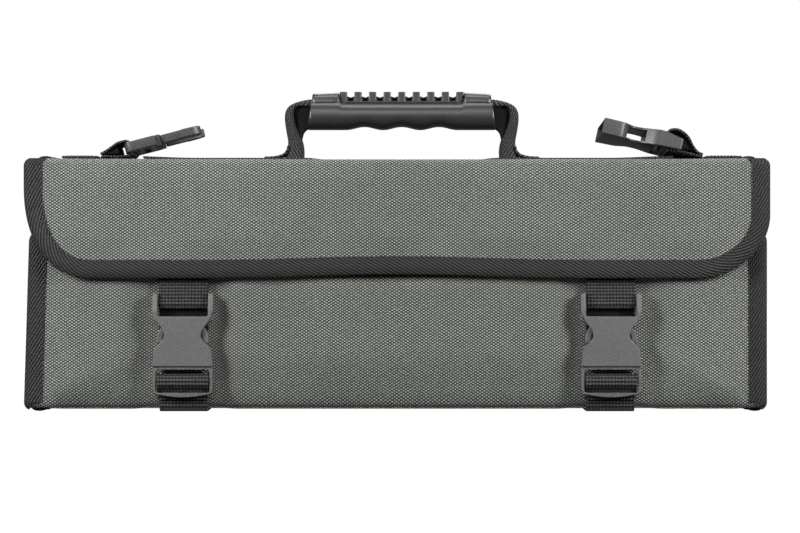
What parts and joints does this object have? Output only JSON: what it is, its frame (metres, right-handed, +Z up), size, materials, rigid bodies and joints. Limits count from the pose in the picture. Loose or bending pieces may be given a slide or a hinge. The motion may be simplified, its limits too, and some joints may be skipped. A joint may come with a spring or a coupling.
{
  "type": "fold-over knife case",
  "caption": "Stiffened fabric case for knives with a hinged flap and front panel, side-release buckles, a webbing carry handle with moulded grip and shoulder-strap buckle ends.",
  "frame": {"origin": "centre of the bounding box's underside, where the case stands upright on its two base straps", "axes": "+Z up, X along the case, -Y towards the side with the flap and the buckles"},
  "size_m": [0.467, 0.0533, 0.202],
  "materials": {
    "cover": "woven grey-green polyester with a black ground",
    "tape": "black twill edge tape",
    "webbing": "ribbed black webbing",
    "lining": "plain black lining cloth",
    "board": "stiffening sheet",
    "buckle": "finely textured moulded plastic",
    "grip": "soft moulded grip"
  },
  "bodies": {
    "case": {"case_cover": "cover", "case_lining": "lining", "back_board": "board", "bottom_board": "board", "case_binding_left": "tape", "case_binding_right": "tape", "knife_sleeves": "lining", "handle_elastic": "lining", "top_webbing": "webbing", "left_tab_base": "webbing", "right_tab_base": "webbing", "left_base_strap": "webbing", "right_base_strap": "webbing"},
    "flap": {"flap_cover": "cover", "flap_board": "board", "flap_lining": "lining", "flap_binding": "tape", "left_flap_strap": "webbing", "right_flap_strap": "webbing"},
    "front": {"front_cover": "cover", "front_board": "board", "front_lining": "lining", "front_binding": "tape", "left_front_strap": "webbing", "right_front_strap": "webbing"},
    "left_buckle": {"left_housing": "buckle", "left_plug": "buckle", "left_hanging_strap": "webbing", "left_strap_tail": "webbing", "left_ladder_strap": "webbing"},
    "right_buckle": {"right_housing": "buckle", "right_plug": "buckle", "right_hanging_strap": "webbing", "right_strap_tail": "webbing", "right_ladder_strap": "webbing"},
    "left_buckle_arm_left": {"left_arm_left": "buckle"},
    "left_buckle_arm_right": {"left_arm_right": "buckle"},
    "right_buckle_arm_left": {"right_arm_left": "buckle"},
    "right_buckle_arm_right": {"right_arm_right": "buckle"},
    "handle": {"handle_strap": "webbing", "grip_shell": "grip", "grip_insert": "grip"},
    "left_tab": {"left_tab_loop": "webbing", "left_tab_plug": "buckle"},
    "left_tab_front_arm": {"left_tab_arm_front": "buckle"},
    "left_tab_back_arm": {"left_tab_arm_back": "buckle"},
    "right_tab": {"right_tab_loop": "webbing", "right_tab_housing": "buckle"}
  },
  "joints": [
    {"name": "flap_hinge", "type": "hinge", "parent": "case", "child": "flap", "pos_m": [0, -0.0244, 0.1592], "axis": [-1, 0, 0], "range_deg": [0, 180]},
    {"name": "front_hinge", "type": "hinge", "parent": "case", "child": "front", "pos_m": [0, -0.0155, 0.0018], "axis": [1, 0, 0], "range_deg": [0, 90]},
    {"name": "left_buckle_swing", "type": "hinge", "parent": "flap", "child": "left_buckle", "pos_m": [-0.134, -0.01785, 0.08265], "axis": [-1, 0, 0], "range_deg": [0, 70]},
    {"name": "left_buckle_press_left", "type": "hinge", "parent": "left_buckle", "child": "left_buckle_arm_left", "pos_m": [-0.1464, -0.0221, 0.03255], "axis": [0, 1, 0], "range_deg": [0, 8], "stiffness_Nm_per_rad": 0.05},
    {"name": "left_buckle_press_right", "type": "hinge", "parent": "left_buckle", "child": "left_buckle_arm_right", "pos_m": [-0.1216, -0.0221, 0.03255], "axis": [0, -1, 0], "range_deg": [0, 8], "stiffness_Nm_per_rad": 0.05},
    {"name": "right_buckle_swing", "type": "hinge", "parent": "flap", "child": "right_buckle", "pos_m": [0.134, -0.01785, 0.08265], "axis": [-1, 0, 0], "range_deg": [0, 70]},
    {"name": "right_buckle_press_left", "type": "hinge", "parent": "right_buckle", "child": "right_buckle_arm_left", "pos_m": [0.1216, -0.0221, 0.03255], "axis": [0, 1, 0], "range_deg": [0, 8], "stiffness_Nm_per_rad": 0.05},
    {"name": "right_buckle_press_right", "type": "hinge", "parent": "right_buckle", "child": "right_buckle_arm_right", "pos_m": [0.1464, -0.0221, 0.03255], "axis": [0, -1, 0], "range_deg": [0, 8], "stiffness_Nm_per_rad": 0.05},
    {"name": "handle_swing", "type": "hinge", "parent": "case", "child": "handle", "pos_m": [0.003, 0.0025, 0.1679], "axis": [-1, 0, 0], "range_deg": [-62, 62]},
    {"name": "left_tab_swing", "type": "hinge", "parent": "case", "child": "left_tab", "pos_m": [-0.187, 0.0025, 0.16115], "axis": [0, -1, 0], "range_deg": [0, 95]},
    {"name": "left_tab_press_front", "type": "hinge", "parent": "left_tab", "child": "left_tab_front_arm", "pos_m": [-0.1473, -0.01144, 0.17167], "axis": [-0.2503, 0.0175, 0.968], "range_deg": [0, 8], "stiffness_Nm_per_rad": 0.05},
    {"name": "left_tab_press_back", "type": "hinge", "parent": "left_tab", "child": "left_tab_back_arm", "pos_m": [-0.14718, 0.01644, 0.1712], "axis": [0.2503, -0.0175, -0.968], "range_deg": [0, 8], "stiffness_Nm_per_rad": 0.05},
    {"name": "right_tab_swing", "type": "hinge", "parent": "case", "child": "right_tab", "pos_m": [0.193, 0.0025, 0.16115], "axis": [0, 1, 0], "range_deg": [0, 95]}
  ],
  "couplings": [
    {"joint": "front_hinge", "follows": "flap_hinge", "ratio": 0.5}
  ]
}
